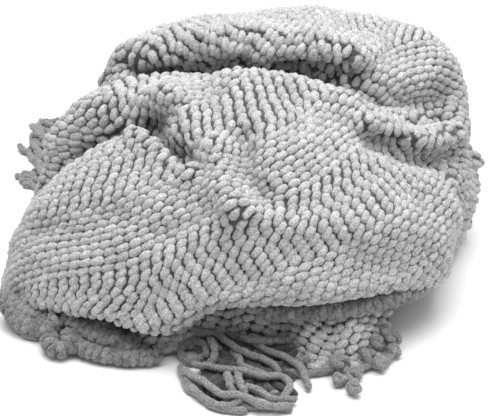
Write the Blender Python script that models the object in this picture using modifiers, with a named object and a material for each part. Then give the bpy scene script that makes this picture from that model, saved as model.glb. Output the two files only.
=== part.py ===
# A chunky knitted throw with a knotted fringe, lying in a loose heap on the floor.
# One sheet runs from its front end under the heap, back and forth inside it, out at the front
# hem and over the top to its other end at the back. Metres, +Z up, the floor at z = 0.
import math

import bmesh
import bpy
import numpy as np
from mathutils import Matrix, Vector

CLOTH = 0.008
THROW_GREY = (0.62, 0.62, 0.63)
FRINGE_GREY = (0.58, 0.58, 0.59)
COLUMNS = 36
OUTER_ROWS = 36
DENSE_ROWS = 161
ARCH_STEPS = 240

# Across the heap a line bows towards its feet by this power, and its right side draws in
# below by this share. From these shares of its length the outer layer lies flat at the back.
BOW = 3.2
TUCK = 0.09
END_LIES_FROM = (0.90, 0.96)
LOWEST_FOOT = 0.0036

# The outer layer, a row for each line across the heap, from the front hem to the back end.
# y and z are at the middle, left and right are the reach to each side, left_y and right_y are
# where the line's feet stand, left_z and right_z their heights, and left_full and right_full
# say how square each shoulder is.
LINE_COLUMNS = (
    "y", "z", "left", "right", "left_y", "right_y", "left_z", "right_z", "left_full", "right_full",
)
LINES = {
    "hem": (-0.186, 0.085, 0.238, 0.216, -0.100, -0.045, 0.012, 0.030, 1.4, 3.4),
    "belly": (-0.162, 0.130, 0.250, 0.236, -0.075, -0.012, 0.002, 0.006, 1.8, 3.0),
    "panel": (-0.085, 0.187, 0.252, 0.250, -0.040, 0.030, 0.002, 0.002, 2.0, 2.7),
    "rim": (0.000, 0.214, 0.238, 0.252, 0.000, 0.060, 0.002, 0.002, 2.1, 2.8),
    "furrow": (0.060, 0.224, 0.202, 0.252, 0.045, 0.090, 0.002, 0.002, 3.2, 4.2),
    "crown": (0.120, 0.236, 0.162, 0.246, 0.078, 0.118, 0.002, 0.002, 4.0, 5.0),
    "shoulder": (0.174, 0.205, 0.164, 0.236, 0.100, 0.142, 0.002, 0.002, 3.0, 3.2),
    "back": (0.200, 0.110, 0.168, 0.226, 0.118, 0.164, 0.002, 0.002, 2.4, 2.3),
    "rear": (0.212, 0.022, 0.180, 0.222, 0.134, 0.182, 0.005, 0.005, 2.0, 2.0),
    "back_end": (0.236, 0.004, 0.204, 0.236, 0.146, 0.206, 0.004, 0.004, 2.0, 2.0),
}

# Folds pushed into that layer: a ridge, or a trough where height is negative, along a curve
# through three points in plan. lean pushes the ridge over towards the front.
FOLD_COLUMNS = ("x1", "y1", "x2", "y2", "x3", "y3", "width", "height", "lean")
FOLDS = {
    "left_ridge": (-0.215, -0.060, -0.150, -0.050, -0.090, -0.050, 0.018, 0.004, -0.004),
    "pocket": (-0.092, -0.026, -0.078, -0.038, -0.066, -0.062, 0.013, -0.028, 0.000),
    "left_valley": (-0.215, -0.016, -0.165, -0.020, -0.115, -0.026, 0.011, -0.024, 0.000),
    "middle_roll": (-0.195, 0.028, -0.130, 0.018, -0.075, -0.002, 0.027, 0.014, 0.012),
    "tail": (-0.075, -0.004, -0.056, -0.026, -0.050, -0.062, 0.015, 0.012, 0.000),
    "roll_back": (-0.180, 0.058, -0.110, 0.050, -0.040, 0.034, 0.012, -0.010, 0.000),
    "puffs": (-0.120, 0.070, -0.060, 0.056, -0.010, 0.036, 0.012, 0.005, 0.000),
    "gap": (-0.120, 0.078, -0.020, 0.048, 0.080, 0.028, 0.016, -0.028, 0.000),
    "crown_roll": (-0.140, 0.106, -0.020, 0.084, 0.110, 0.076, 0.026, 0.010, 0.019),
    "crown_top": (-0.030, 0.128, 0.020, 0.122, 0.060, 0.118, 0.045, 0.012, 0.000),
    "rim": (-0.010, 0.002, 0.130, -0.014, 0.236, 0.048, 0.018, 0.010, -0.008),
    "scoop": (0.105, 0.018, 0.165, 0.016, 0.232, 0.074, 0.017, -0.026, 0.000),
    "groove": (0.120, -0.050, 0.170, -0.040, 0.225, -0.010, 0.018, -0.010, 0.000),
    "front_crest": (0.005, -0.020, 0.022, -0.090, -0.005, -0.150, 0.030, 0.008, 0.000),
    "left_crease": (-0.180, -0.120, -0.120, -0.135, -0.060, -0.150, 0.020, -0.006, 0.000),
    "right_bulge": (0.130, -0.125, 0.175, -0.105, 0.200, -0.060, 0.030, 0.010, 0.006),
}

# The inner layers are smaller, softer copies of the outer one, nested a hand's thickness apart,
# and they run between these shares of its length.
# Their columns are the scale in plan, the scale in height and the number of rows.
INNER = {
    "core": (0.50, 0.22, 4),
    "second": (0.66, 0.46, 5),
    "first": (0.83, 0.71, 7),
}
HEAP_MIDDLE_Y = 0.020
INNER_LIFT = 0.016
INNER_FRONT = 0.05
INNER_BACK = 0.90
SOFT_ROWS = 21
SOFT_PASSES = 5

# The base layer, from the front end back to its turn. bow sets the two ends back from the
# middle, ripple is the height of its bunched waves.
BASE_COLUMNS = ("y", "left_z", "right_z", "left", "right", "bow", "ripple")
BASE = {
    "front_end": (-0.212, 0.0040, 0.0040, 0.200, 0.158, 0.050, 0.000),
    "toe": (-0.203, 0.0050, 0.0045, 0.200, 0.160, 0.050, 0.000),
    "toe_rise": (-0.195, 0.0150, 0.0160, 0.195, 0.162, 0.050, 0.005),
    "instep": (-0.182, 0.0150, 0.0320, 0.184, 0.164, 0.050, 0.006),
    "hump": (-0.158, 0.0100, 0.0430, 0.175, 0.164, 0.048, 0.004),
    "slope": (-0.132, 0.0060, 0.0220, 0.174, 0.160, 0.044, 0.002),
    "heel": (-0.106, 0.0045, 0.0060, 0.160, 0.152, 0.038, 0.000),
    "flat_front": (-0.072, 0.0040, 0.0040, 0.145, 0.142, 0.030, 0.000),
    "flat_middle": (-0.010, 0.0040, 0.0040, 0.120, 0.128, 0.014, 0.000),
    "flat_back": (0.060, 0.0040, 0.0040, 0.090, 0.112, -0.006, 0.000),
    "turn_foot": (0.096, 0.0040, 0.0040, 0.080, 0.104, -0.016, 0.000),
}
BASE_RISE_X = (-0.110, -0.020)
RIPPLE_PITCHES = (0.052, 0.081)
RIPPLE_START = 0.6
TURN_SHARES = (0.25, 0.5, 0.75)
TURN_LOWEST = 0.0048

# The fringe: strands drawn out of a narrow strip that lies just off the cloth's end. Its rows
# hold the share of the strip's length, how far the strands swing to the left of straight out
# there, in degrees, and their length.
PART_GAP = 0.0003
STRIP = 0.008
STRAND = 0.0055
STRAND_STEPS = 8
LANDING = 0.012
FRONT_FRINGE = ((0.0, 42, 0.080), (0.3, 43, 0.105), (0.6, 44, 0.115), (0.85, 36, 0.062), (1.0, 28, 0.036))
BACK_FRINGE = ((0.0, -30, 0.060), (0.3, -16, 0.070), (0.7, 0, 0.080), (1.0, 10, 0.075))
FRONT_CELLS = 2
FRONT_FROM_X = -0.052
BACK_CELLS = 4
BACK_TO_X = 0.030
SWING_OVER = 0.030


def spline(knots, values, at):
    """A smooth curve through a table's values, read at new places."""
    knots = np.asarray(knots, float)
    values = np.asarray(values, float)
    at = np.asarray(at, float)
    slopes = np.gradient(values, knots, axis=0)
    cell = np.clip(np.searchsorted(knots, at, side="right") - 1, 0, len(knots) - 2)
    span = (knots[cell + 1] - knots[cell])[:, None]
    s = (at - knots[cell])[:, None] / span
    return (
        (2 * s**3 - 3 * s**2 + 1) * values[cell]
        + (s**3 - 2 * s**2 + s) * span * slopes[cell]
        + (3 * s**2 - 2 * s**3) * values[cell + 1]
        + (s**3 - s**2) * span * slopes[cell + 1]
    )


def even_steps(points, count):
    """The same curve in equal steps along its length."""
    steps = np.linalg.norm(np.diff(points, axis=0), axis=1)
    run = np.concatenate([[0.0], np.cumsum(steps)])
    places = np.linspace(0.0, run[-1], count)
    return np.stack([np.interp(places, run, points[:, axis]) for axis in range(3)], axis=1)


def arch(y, z, left, right, left_y, right_y, left_z, right_z, left_full, right_full):
    """One line across the heap, from its left foot over the top to its right foot."""
    turn = np.linspace(0.0, math.pi, ARCH_STEPS)
    is_left = turn < math.pi / 2
    full = np.where(is_left, left_full, right_full)
    side = -np.sign(np.cos(turn)) * np.abs(np.cos(turn)) ** (2 / full)
    rise = np.abs(np.sin(turn)) ** (2 / full)
    reach = np.where(is_left, left, right * (1 - TUCK * (1 - rise) ** 2))
    foot_z = np.where(is_left, left_z, right_z)
    ends_y = np.where(is_left, left_y, right_y)
    curve = np.stack(
        [side * reach, y + (ends_y - y) * np.abs(side) ** BOW, foot_z + (z - foot_z) * rise], axis=1
    )
    return even_steps(curve, COLUMNS + 1)


def surface_normals(grid):
    """Outward unit normals of a grid of points, rows running front to back."""
    across = np.gradient(grid, axis=1)
    along = np.gradient(grid, axis=0)
    normals = np.cross(across, along)
    return normals / np.maximum(np.linalg.norm(normals, axis=2, keepdims=True), 1e-9)


def on_surface(grid, x, y):
    """The height of the outer layer above a place in plan."""
    distance = np.hypot(grid[:, :, 0] - x, grid[:, :, 1] - y).ravel()
    nearest = np.argsort(distance)[:4]
    weights = 1 / (distance[nearest] + 1e-4)
    return float(np.sum(grid[:, :, 2].ravel()[nearest] * weights) / np.sum(weights))


def fold_line(grid, x1, y1, x2, y2, x3, y3):
    """A fold's crest, through its three places in plan, lying on the outer layer."""
    plan = spline([0.0, 0.5, 1.0], [(x1, y1), (x2, y2), (x3, y3)], np.linspace(0, 1, 15))
    return np.array([(x, y, on_surface(grid, x, y)) for x, y in plan])


def push_fold(grid, normals, x1, y1, x2, y2, x3, y3, width, height, lean):
    """How far one fold moves each point of the outer layer."""
    crest = fold_line(grid, x1, y1, x2, y2, x3, y3)
    away = np.linalg.norm(grid[:, :, None, :] - crest[None, None, :, :], axis=3).min(axis=2)
    swell = np.exp(-((away / width) ** 2))[:, :, None]
    return swell * (normals * height + np.array([0.0, -lean, 0.0]))


def outer_layer():
    """The layer that shows, as a dense grid of rows from the hem to the back end."""
    table = np.array(list(LINES.values()))
    run = np.concatenate([[0.0], np.cumsum(np.hypot(np.diff(table[:, 0]), np.diff(table[:, 1])))])
    lines = spline(run / run[-1], table, np.linspace(0.0, 1.0, DENSE_ROWS))
    grid = np.array([arch(**dict(zip(LINE_COLUMNS, line))) for line in lines])
    normals = surface_normals(grid)
    moved = grid.copy()
    for fold in FOLDS.values():
        moved += push_fold(grid, normals, **dict(zip(FOLD_COLUMNS, fold)))
    lowest = np.interp(np.linspace(0.0, 1.0, DENSE_ROWS), END_LIES_FROM, (LOWEST_FOOT, CLOTH / 2))
    moved[:, :, 2] = np.maximum(moved[:, :, 2], lowest[:, None])
    return moved


def softened(grid):
    """A smoother copy of the outer layer, for the layers inside it."""
    soft = np.array([row_at(grid, t) for t in np.linspace(0.0, 1.0, SOFT_ROWS)])
    for _ in range(SOFT_PASSES):
        soft[:, 1:-1] = (soft[:, :-2] + 2 * soft[:, 1:-1] + soft[:, 2:]) / 4
        soft[1:-1] = (soft[:-2] + 2 * soft[1:-1] + soft[2:]) / 4
    return soft


def row_at(grid, t):
    """The row of a dense grid at a share t of its length."""
    place = t * (len(grid) - 1)
    lower = min(int(place), len(grid) - 2)
    return grid[lower] + (grid[lower + 1] - grid[lower]) * (place - lower)


def inner_row(soft, t, plan_scale, height_scale):
    """A row of a nested layer: the outer row drawn in towards the heap's middle."""
    row = row_at(soft, t).copy()
    row[:, 0] *= plan_scale
    row[:, 1] = HEAP_MIDDLE_Y + plan_scale * (row[:, 1] - HEAP_MIDDLE_Y)
    row[:, 2] = INNER_LIFT + height_scale * row[:, 2]
    return row


def base_row(y, left_z, right_z, left, right, bow, ripple):
    """One row of the base layer, from its left edge to its right."""
    share = np.linspace(-1.0, 1.0, COLUMNS + 1)
    x = np.where(share < 0, share * left, share * right)
    narrow, wide = [np.sin(2 * math.pi * x / pitch + RIPPLE_START) for pitch in RIPPLE_PITCHES]
    rise = np.clip((x - BASE_RISE_X[0]) / (BASE_RISE_X[1] - BASE_RISE_X[0]), 0.0, 1.0)
    height = left_z + (right_z - left_z) * rise**2 * (3 - 2 * rise) + ripple * (narrow + wide / 2)
    return np.stack([x, y + bow * share**2, np.maximum(height, CLOTH / 2)], axis=1)


def turn_rows(before, edge, next_edge):
    """Rows round a turn, from one layer's edge to the edge of the next."""
    middle = (edge + next_edge) / 2
    half = (edge - next_edge) / 2
    size = np.linalg.norm(half, axis=1, keepdims=True)
    onward = edge - before
    onward -= half * (np.sum(onward * half, axis=1, keepdims=True) / size**2)
    onward /= np.linalg.norm(onward, axis=1, keepdims=True)
    rows = []
    for share in TURN_SHARES:
        angle = share * math.pi
        row = middle + half * math.cos(angle) + onward * size * math.sin(angle)
        row[:, 2] = np.maximum(row[:, 2], TURN_LOWEST)
        rows.append(row)
    return rows


def throw_rows():
    """Every row of the sheet, from its front end to its back end."""
    outer = outer_layer()
    soft = softened(outer)
    layers = [[base_row(**dict(zip(BASE_COLUMNS, line))) for line in BASE.values()]]
    from_back = True
    for plan_scale, height_scale, count in INNER.values():
        places = np.linspace(INNER_FRONT, INNER_BACK, count)
        if from_back:
            places = places[::-1]
        layers.append([inner_row(soft, t, plan_scale, height_scale) for t in places])
        from_back = not from_back
    layers.append([row_at(outer, t) for t in np.linspace(0.0, 1.0, OUTER_ROWS)])
    rows = list(layers[0])
    for layer in layers[1:]:
        rows += turn_rows(rows[-2], rows[-1], layer[0])
        rows += layer
    return rows


def grid_object(name, rows):
    """An open sheet through the rows, as one object."""
    mesh = bpy.data.meshes.new(name)
    bm = bmesh.new()
    across = len(rows[0])
    bmesh.ops.create_grid(bm, x_segments=across - 1, y_segments=len(rows) - 1, size=1.0)
    bm.verts.ensure_lookup_table()
    order = sorted(bm.verts, key=lambda v: (round(v.co.y, 5), round(v.co.x, 5)))
    for vert, place in zip(order, np.concatenate(rows)):
        vert.co = place
    bm.normal_update()
    bm.to_mesh(mesh)
    bm.free()
    return bpy.data.objects.new(name, mesh)


def square_to(edge, ahead):
    """Unit directions in plan, square to an edge and pointing ahead."""
    along = np.gradient(edge, axis=0)
    out = np.stack([along[:, 1], -along[:, 0], np.zeros(len(edge))], axis=1)
    out *= np.sign(np.sum(out * ahead, axis=1, keepdims=True))
    return out / np.linalg.norm(out, axis=1, keepdims=True)


def strand_places(root, outward, turn, length):
    """The middle of a strand's section at each step, from its root down to the floor."""
    angle = math.radians(turn)
    ahead = Vector((outward.x, outward.y, 0.0)).normalized()
    lying = STRAND / 2
    landing = root.z - lying + LANDING
    place = Vector(root)
    places = []
    run = 0.0
    for step in range(1, STRAND_STEPS + 1):
        share = step / STRAND_STEPS
        stride = length * share - run
        run = length * share
        fall = min(run / landing, 1.0)
        height = lying + (root.z - lying) * (1.0 - fall * fall * (3.0 - 2.0 * fall))
        swing = -angle * min(1.0, run / SWING_OVER)
        heading = Matrix.Rotation(swing, 3, "Z") @ ahead
        level = math.sqrt(max(stride**2 - (place.z - height) ** 2, (0.4 * stride) ** 2))
        place = Vector((place.x + heading.x * level, place.y + heading.y * level, height))
        places.append(place)
    return places


def draw_strand(bm, face, places):
    """Draws one strand out of a cell of the strip's free side."""
    before = face.calc_center_median()
    side = (places[0] - before).cross(Vector((0.0, 0.0, 1.0))).normalized()
    for step, place in enumerate(places):
        after = places[min(step + 1, len(places) - 1)]
        heading = (after - before).normalized()
        middle = face.calc_center_median()
        face = bmesh.ops.extrude_discrete_faces(bm, faces=[face])["faces"][0]
        signs = [
            (math.copysign(1, (vert.co - middle).dot(side)), math.copysign(1, vert.co.z - middle.z))
            for vert in face.verts
        ]
        side = heading.cross(Vector((0.0, 0.0, 1.0))).normalized()
        up = side.cross(heading)
        for vert, (across, above) in zip(face.verts, signs):
            vert.co = place + (side * across + up * above) * (STRAND / 2)
        before = place


def fringe_object(name, end_row, row_before, table, cells_each):
    """A narrow strip along the cloth's end, with its strands drawn out of its free side."""
    cells = cells_each * (len(end_row) - 1)
    places = np.linspace(0.0, len(end_row) - 1.0, cells + 1)
    last = end_row - row_before
    steep = np.abs(last[:, 2]) / np.linalg.norm(last[:, :2], axis=1)
    known = np.arange(len(end_row))
    roots, outward = [
        np.stack([np.interp(places, known, points[:, axis]) for axis in range(3)], axis=1)
        for points in (end_row, square_to(end_row, last))
    ]
    clear = PART_GAP + np.interp(places, known, steep) * CLOTH / 2
    bm = bmesh.new()
    bmesh.ops.create_grid(bm, x_segments=cells, y_segments=1, size=1.0)
    order = sorted(bm.verts, key=lambda v: (round(v.co.y, 5), round(v.co.x, 5)))
    for index, vert in enumerate(order):
        column = index % (cells + 1)
        away = clear[column] + (STRIP if index > cells else 0.0)
        vert.co = Vector(roots[column] + outward[column] * away - np.array([0.0, 0.0, CLOTH / 2]))
    free_edge = [vert.co.copy() for vert in order[cells + 1:]]
    raised = bmesh.ops.extrude_face_region(bm, geom=bm.faces[:])["geom"]
    tops = [item for item in raised if isinstance(item, bmesh.types.BMVert)]
    bmesh.ops.translate(bm, verts=tops, vec=(0.0, 0.0, CLOTH))
    bmesh.ops.recalc_face_normals(bm, faces=bm.faces[:])
    free_middles = [
        (free_edge[i] + free_edge[i + 1]) / 2 + Vector((0.0, 0.0, CLOTH / 2)) for i in range(cells)
    ]
    free_side = {}
    for face in bm.faces:
        away = [(face.calc_center_median() - middle).length for middle in free_middles]
        nearest = int(np.argmin(away))
        if away[nearest] < 1e-5:
            free_side[nearest] = face
    rules = np.array(table)
    strand_cells = range(1, cells, 2)
    routes = []
    for cell in strand_cells:
        turn, length = spline(rules[:, 0], rules[:, 1:], [(cell + 0.5) / cells])[0]
        ahead = Vector((outward[cell] + outward[cell + 1]) / 2)
        routes.append(strand_places(free_middles[cell], ahead, turn, length))
    for cell, route in zip(strand_cells, routes):
        draw_strand(bm, free_side[cell], route)
    bmesh.ops.recalc_face_normals(bm, faces=bm.faces[:])
    mesh = bpy.data.meshes.new(name)
    bm.to_mesh(mesh)
    bm.free()
    return bpy.data.objects.new(name, mesh)


def yarn_material(name, colour):
    """Matt chenille yarn."""
    material = bpy.data.materials.new(name)
    material.use_nodes = True
    shader = material.node_tree.nodes["Principled BSDF"]
    shader.inputs["Base Color"].default_value = (*colour, 1.0)
    shader.inputs["Roughness"].default_value = 0.95
    shader.inputs["Metallic"].default_value = 0.0
    return material


def stand_at_origin(pieces):
    """Moves the pieces so that the middle of their shared box's underside is the origin."""
    depsgraph = bpy.context.evaluated_depsgraph_get()
    corners = []
    for piece in pieces:
        shown = piece.evaluated_get(depsgraph)
        places = np.array([vert.co[:] for vert in shown.to_mesh().vertices])
        corners += [places.min(axis=0), places.max(axis=0)]
        shown.to_mesh_clear()
    low = np.min(corners, axis=0)
    high = np.max(corners, axis=0)
    middle = Vector(((low[0] + high[0]) / 2, (low[1] + high[1]) / 2, low[2]))
    for piece in pieces:
        piece.data.transform(Matrix.Translation(-middle))


def main():
    for old in list(bpy.data.objects):
        bpy.data.objects.remove(old, do_unlink=True)
    parts = bpy.data.collections.new("knit_throw")
    bpy.context.scene.collection.children.link(parts)
    rows = throw_rows()
    throw = grid_object("throw", rows)
    solid = throw.modifiers.new("Thickness", "SOLIDIFY")
    solid.thickness = CLOTH
    solid.offset = 0.0
    front = rows[0][:, 0] > FRONT_FROM_X
    back = rows[-1][:, 0] < BACK_TO_X
    front_fringe = fringe_object(
        "fringe_front", rows[0][front], rows[1][front], FRONT_FRINGE, FRONT_CELLS
    )
    back_fringe = fringe_object(
        "fringe_back", rows[-1][back], rows[-2][back], BACK_FRINGE, BACK_CELLS
    )
    pieces = ((throw, THROW_GREY), (front_fringe, FRINGE_GREY), (back_fringe, FRINGE_GREY))
    for piece, colour in pieces:
        piece.data.materials.append(yarn_material(piece.name, colour))
        parts.objects.link(piece)
    stand_at_origin((throw, front_fringe, back_fringe))


main()
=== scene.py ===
# A chunky knitted throw with a knotted fringe, dropped in a loose heap on the floor.
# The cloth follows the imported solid; its stitches, knots and fringe strands are modelled here.
import math

import bmesh
import bpy
import numpy as np
from mathutils import Matrix, Vector, kdtree


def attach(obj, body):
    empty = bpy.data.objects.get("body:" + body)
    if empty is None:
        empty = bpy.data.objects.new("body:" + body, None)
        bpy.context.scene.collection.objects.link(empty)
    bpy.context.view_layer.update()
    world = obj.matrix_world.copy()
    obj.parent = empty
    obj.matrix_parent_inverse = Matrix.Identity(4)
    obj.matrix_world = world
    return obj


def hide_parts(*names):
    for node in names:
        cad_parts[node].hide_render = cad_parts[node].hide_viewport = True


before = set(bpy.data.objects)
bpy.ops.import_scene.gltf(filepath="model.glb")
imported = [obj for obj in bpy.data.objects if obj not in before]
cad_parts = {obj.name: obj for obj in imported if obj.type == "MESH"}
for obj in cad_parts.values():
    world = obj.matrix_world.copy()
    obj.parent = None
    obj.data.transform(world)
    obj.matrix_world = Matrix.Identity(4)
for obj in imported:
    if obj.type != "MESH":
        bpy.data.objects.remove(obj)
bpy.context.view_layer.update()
heapShift = np.array([0.0097, -0.0042, 0.0])  # where the solids' own middle was moved to


# Camera, light and floor

studio = {
    "azimuth": 0.0,
    "elevation": 32.0,
    "distance": 1.75,
    "lookAt": (0.0097, -0.0042, 0.0684),
    "metresPerPixel": 0.00108,
    "imageWidth": 490,
    "imageHeight": 416,
    "sensor": 36.0,
    "floorSize": 7.0,
    "floorZ": -0.0005,
    "floorGrey": (0.97, 0.97, 0.97),
    "skyStrength": 0.31,
    "keyPower": 47.5,
    "keySize": 1.8,
    "keyPlace": (0.00, 0.06, 1.66),
    "fillPower": 5.0,
    "fillSize": 1.6,
    "fillPlace": (1.1, -0.4, 1.3),
}


def towards(azimuth, elevation):
    a, e = math.radians(azimuth), math.radians(elevation)
    return Vector((math.sin(a) * math.cos(e), -math.cos(a) * math.cos(e), math.sin(e)))


def addObject(name, data):
    added = bpy.data.objects.new(name, data)
    bpy.context.scene.collection.objects.link(added)
    return added


def addArea(name, place, size, power):
    lamp = bpy.data.lights.new(name, "AREA")
    lamp.energy = power
    lamp.size = size
    holder = addObject(name, lamp)
    holder.location = place
    holder.rotation_euler = (-Vector(place)).to_track_quat("-Z", "Y").to_euler()


def buildStudio(values):
    back = towards(values["azimuth"], values["elevation"])
    lens = bpy.data.cameras.new("studioCamera")
    lens.sensor_width = values["sensor"]
    wide = values["imageWidth"] * values["metresPerPixel"]
    lens.lens = values["sensor"] * values["distance"] / wide
    camera = addObject("studioCamera", lens)
    camera.location = Vector(values["lookAt"]) + back * values["distance"]
    camera.rotation_euler = (-back).to_track_quat("-Z", "Y").to_euler()
    bpy.context.scene.camera = camera
    world = bpy.data.worlds.new("studioSky")
    world.use_nodes = True
    sky = world.node_tree.nodes["Background"]
    sky.inputs["Color"].default_value = (1.0, 1.0, 1.0, 1.0)
    sky.inputs["Strength"].default_value = values["skyStrength"]
    bpy.context.scene.world = world
    bpy.context.scene.view_settings.view_transform = "Standard"
    addArea("keyLight", values["keyPlace"], values["keySize"], values["keyPower"])
    addArea("fillLight", values["fillPlace"], values["fillSize"], values["fillPower"])
    bm = bmesh.new()
    bmesh.ops.create_grid(bm, x_segments=1, y_segments=1, size=values["floorSize"] / 2)
    bmesh.ops.translate(bm, verts=bm.verts[:], vec=(0.0, 0.0, values["floorZ"]))
    mesh = bpy.data.meshes.new("studioFloor")
    bm.to_mesh(mesh)
    bm.free()
    floor = addObject("studioFloor", mesh)
    paint = bpy.data.materials.new("studioFloorPaint")
    paint.use_nodes = True
    shader = paint.node_tree.nodes["Principled BSDF"]
    shader.inputs["Base Color"].default_value = (*values["floorGrey"], 1.0)
    shader.inputs["Roughness"].default_value = 0.9
    floor.data.materials.append(paint)


buildStudio(studio)
print("stage: camera, light and floor")


# Chenille yarn, by its tone

yarn = {
    "pileSize": 0.0016,  # metres between the tufts of the pile
    "pileDepth": 0.0013,
    "fleckSize": 0.0050,
    "sheen": 0.35,
    "sheenRoughness": 0.6,
    "gloss": 0.2,
    "roughness": 0.92,
    "bump": 0.8,
}
# light: the colour of the pile's tufts; dark: the colour painted into the pile's hollows as shade
tones = {
    "throwYarn": {"light": (0.66, 0.66, 0.66), "dark": (0.27, 0.27, 0.272), "spread": 0.16, "deep": 0.16},
    # the fringe's yarn: darker than the throw's, partly as a denser yarn and partly as painted shade where
    # the fringe lies low in the heap's shade
    "shadedFringeYarn": {"light": (0.41, 0.41, 0.412), "dark": (0.13, 0.13, 0.132), "spread": 0.15, "deep": 1.0},
    # painted shade: a near-black yarn for the cloth under the beans, the strands under the fringe and the
    # rolls under the hem, where shade falls
    "paintedShadeYarn": {"light": (0.09, 0.09, 0.091), "dark": (0.04, 0.04, 0.041), "spread": 0.10, "deep": 1.0},
}


def addNode(tree, kind, place, **inputs):
    node = tree.nodes.new(kind)
    node.location = place
    for name, value in inputs.items():
        node.inputs[name].default_value = value
    return node


def mapRange(tree, place, low, high, toLow, toHigh):
    sockets = {"From Min": low, "From Max": high, "To Min": toLow, "To Max": toHigh}
    return addNode(tree, "ShaderNodeMapRange", place, **sockets)


def multiplied(tree, place, one, two):
    node = addNode(tree, "ShaderNodeMath", place)
    node.operation = "MULTIPLY"
    tree.links.new(one, node.inputs[0])
    tree.links.new(two, node.inputs[1])
    return node.outputs["Value"]


def chenille(name, tone):
    material = bpy.data.materials.new(name)
    material.use_nodes = True
    tree = material.node_tree
    link = tree.links.new
    shader = tree.nodes["Principled BSDF"]
    shader.inputs["Roughness"].default_value = yarn["roughness"]
    shader.inputs["Sheen Weight"].default_value = yarn["sheen"]
    shader.inputs["Sheen Roughness"].default_value = yarn["sheenRoughness"]
    shader.inputs["Specular IOR Level"].default_value = yarn["gloss"]
    where = addNode(tree, "ShaderNodeTexCoord", (-1100, 0))
    tufts = {"Scale": 1 / yarn["pileSize"], "Detail": 2.0, "Roughness": 0.7}
    pile = addNode(tree, "ShaderNodeTexNoise", (-850, -150), **tufts)
    flecks = {"Scale": 1 / yarn["fleckSize"], "Detail": 2.0, "Roughness": 0.6}
    fleck = addNode(tree, "ShaderNodeTexNoise", (-850, 150), **flecks)
    link(where.outputs["Object"], pile.inputs["Vector"])
    link(where.outputs["Object"], fleck.inputs["Vector"])
    # painted shade: the pile's colour runs from dark in its hollows to light on its tufts, by the same
    # noise as its bump
    depth = mapRange(tree, (-600, -50), 0.36, 0.62, 0.0, 1.0)
    link(pile.outputs["Fac"], depth.inputs["Value"])
    colour = addNode(tree, "ShaderNodeMix", (-350, 100))
    colour.data_type = "RGBA"
    colour.inputs["A"].default_value = (*tone["dark"], 1.0)
    colour.inputs["B"].default_value = (*tone["light"], 1.0)
    link(depth.outputs["Result"], colour.inputs["Factor"])
    # tone: random from stitch to stitch, with painted shade in the hollows and on the rolls under the hem,
    # and painted light on the apron; not clamped, so the painted shade can go below the random range
    toneLightAndShade = addNode(tree, "ShaderNodeAttribute", (-850, 400))
    toneLightAndShade.attribute_name = "tone"
    spread = mapRange(tree, (-600, 350), 0.0, 1.0, 1.0 - tone["spread"], 1.0 + tone["spread"] / 3)
    spread.clamp = False
    link(toneLightAndShade.outputs["Fac"], spread.inputs["Value"])
    shade = mapRange(tree, (-600, 150), 0.3, 0.7, 0.94, 1.04)
    link(fleck.outputs["Fac"], shade.inputs["Value"])
    factor = multiplied(tree, (-400, 300), spread.outputs["Result"], shade.outputs["Result"])
    # painted shade: each bean gets darker towards its root, down to the share deep of its colour, by its
    # height within the bean (proud)
    if tone["deep"] < 1.0:  # the stitches' roots are darker
        proud = addNode(tree, "ShaderNodeAttribute", (-850, 600))
        proud.attribute_name = "proud"
        hollow = mapRange(tree, (-600, 600), 0.28, 0.78, tone["deep"], 1.0)
        hollow.interpolation_type = "SMOOTHSTEP"
        link(proud.outputs["Fac"], hollow.inputs["Value"])
        factor = multiplied(tree, (-250, 400), hollow.outputs["Result"], factor)
    final = addNode(tree, "ShaderNodeVectorMath", (-150, 200))
    final.operation = "SCALE"
    link(colour.outputs["Result"], final.inputs[0])
    link(factor, final.inputs["Scale"])
    link(final.outputs["Vector"], shader.inputs["Base Color"])
    bump = addNode(tree, "ShaderNodeBump", (-350, -250), Strength=yarn["bump"], Distance=yarn["pileDepth"])
    link(pile.outputs["Fac"], bump.inputs["Height"])
    link(bump.outputs["Normal"], shader.inputs["Normal"])
    return material


materials = {name: chenille(name, tone) for name, tone in tones.items()}
print("stage: yarn materials")


# The way the cloth lies: the same lines, folds and layers as the solid, at a finer pitch

cloth = {
    "columns": 96,
    "solidColumns": 36,
    "baseSteps": 3,
    "foldPoints": 15,
    "outerRows": 120,
    "denseRows": 161,
    "archSteps": 480,
    "bow": 3.2,
    "tuck": 0.09,
    "endLiesFrom": (0.90, 0.96),
    "lowestFoot": 0.0036,
    "half": 0.004,
    "thickness": 0.005,
    "flat": (0.92, 1.22),
}
lines = {  # y, z, left, right, leftY, rightY, leftZ, rightZ, leftFull, rightFull
    "hem": (-0.186, 0.085, 0.238, 0.216, -0.100, -0.045, 0.012, 0.030, 1.4, 3.4),
    "belly": (-0.162, 0.130, 0.250, 0.236, -0.075, -0.012, 0.002, 0.006, 1.8, 3.0),
    "panel": (-0.085, 0.187, 0.252, 0.250, -0.040, 0.030, 0.002, 0.002, 2.0, 2.7),
    "rim": (0.000, 0.214, 0.238, 0.252, 0.000, 0.060, 0.002, 0.002, 2.1, 2.8),
    "furrow": (0.060, 0.224, 0.202, 0.252, 0.045, 0.090, 0.002, 0.002, 3.2, 4.2),
    "crown": (0.120, 0.236, 0.162, 0.246, 0.078, 0.118, 0.002, 0.002, 4.0, 5.0),
    "shoulder": (0.174, 0.205, 0.164, 0.236, 0.100, 0.142, 0.002, 0.002, 3.0, 3.2),
    "back": (0.200, 0.110, 0.168, 0.226, 0.118, 0.164, 0.002, 0.002, 2.4, 2.3),
    "rear": (0.212, 0.022, 0.180, 0.222, 0.134, 0.182, 0.005, 0.005, 2.0, 2.0),
    "backEnd": (0.236, 0.004, 0.204, 0.236, 0.146, 0.206, 0.004, 0.004, 2.0, 2.0),
}
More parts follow.
